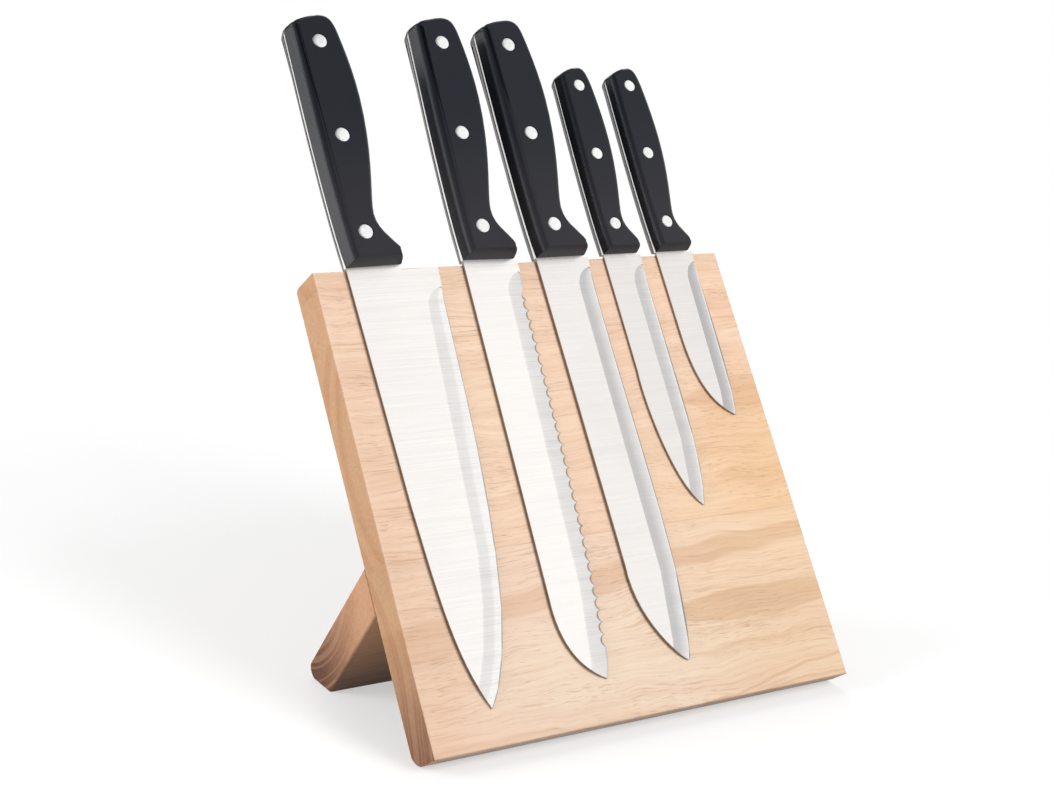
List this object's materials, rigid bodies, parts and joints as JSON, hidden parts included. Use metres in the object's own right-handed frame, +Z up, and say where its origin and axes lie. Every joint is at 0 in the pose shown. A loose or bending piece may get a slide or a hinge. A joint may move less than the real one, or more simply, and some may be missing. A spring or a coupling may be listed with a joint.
{
  "type": "magnetic knife block with knives",
  "caption": "Leaning wooden knife board on a folding rear leg, with hidden magnets that hold chef's, bread, slicing, utility and paring knives with riveted black handles.",
  "frame": {"origin": "middle of the bounding box in plan, at the table that the part stands on", "axes": "+Z up; +X along the board's width, so that the chef's knife is at -X; -Y towards the user, whom the leaning face and its blades look at"},
  "size_m": [0.22, 0.2044, 0.2874],
  "materials": {
    "oiled_wood": "pale edge-glued hardwood with level grain, sanded and oiled",
    "blade_steel": "satin stainless steel with fine lines across the blade",
    "handle_plastic": "black moulded plastic with a low sheen",
    "rivet_steel": "polished steel ground flush with the handle",
    "hinge_steel": "zinc-plated steel",
    "plain_steel": "plain drawn steel",
    "magnet_plating": "nickel-plated block magnets"
  },
  "bodies": {
    "stand": {"front_board": "oiled_wood", "upper_cover": "oiled_wood", "lower_cover": "oiled_wood", "upper_keeper": "plain_steel", "lower_keeper": "plain_steel", "upper_magnets": "magnet_plating", "lower_magnets": "magnet_plating", "left_hinge_board_leaf": "hinge_steel", "left_hinge_pin": "plain_steel", "right_hinge_board_leaf": "hinge_steel", "right_hinge_pin": "plain_steel", "board_screws": "hinge_steel"},
    "leg": {"rear_leg": "oiled_wood", "left_hinge_leg_leaf": "hinge_steel", "right_hinge_leg_leaf": "hinge_steel", "leg_screws": "hinge_steel"},
    "chef_knife": {"chef_blade": "blade_steel", "chef_front_scale": "handle_plastic", "chef_back_scale": "handle_plastic", "chef_rivets": "rivet_steel"},
    "bread_knife": {"bread_blade": "blade_steel", "bread_front_scale": "handle_plastic", "bread_back_scale": "handle_plastic", "bread_rivets": "rivet_steel"},
    "slicer_knife": {"slicer_blade": "blade_steel", "slicer_front_scale": "handle_plastic", "slicer_back_scale": "handle_plastic", "slicer_rivets": "rivet_steel"},
    "utility_knife": {"utility_blade": "blade_steel", "utility_front_scale": "handle_plastic", "utility_back_scale": "handle_plastic", "utility_rivets": "rivet_steel"},
    "paring_knife": {"paring_blade": "blade_steel", "paring_front_scale": "handle_plastic", "paring_back_scale": "handle_plastic", "paring_rivets": "rivet_steel"}
  },
  "joints": [
    {"name": "leg_fold", "type": "hinge", "parent": "stand", "child": "leg", "pos_m": [0, -0.04749, 0.04965], "axis": [-1, 0, 0], "range_deg": [0, 73]},
    {"name": "chef_pull", "type": "slide", "parent": "stand", "child": "chef_knife", "axis": [0, -0.809, 0.5878], "range_m": [0, 0.08]},
    {"name": "bread_pull", "type": "slide", "parent": "stand", "child": "bread_knife", "axis": [0, -0.809, 0.5878], "range_m": [0, 0.08]},
    {"name": "slicer_pull", "type": "slide", "parent": "stand", "child": "slicer_knife", "axis": [0, -0.809, 0.5878], "range_m": [0, 0.08]},
    {"name": "utility_pull", "type": "slide", "parent": "stand", "child": "utility_knife", "axis": [0, -0.809, 0.5878], "range_m": [0, 0.08]},
    {"name": "paring_pull", "type": "slide", "parent": "stand", "child": "paring_knife", "axis": [0, -0.809, 0.5878], "range_m": [0, 0.08]}
  ]
}
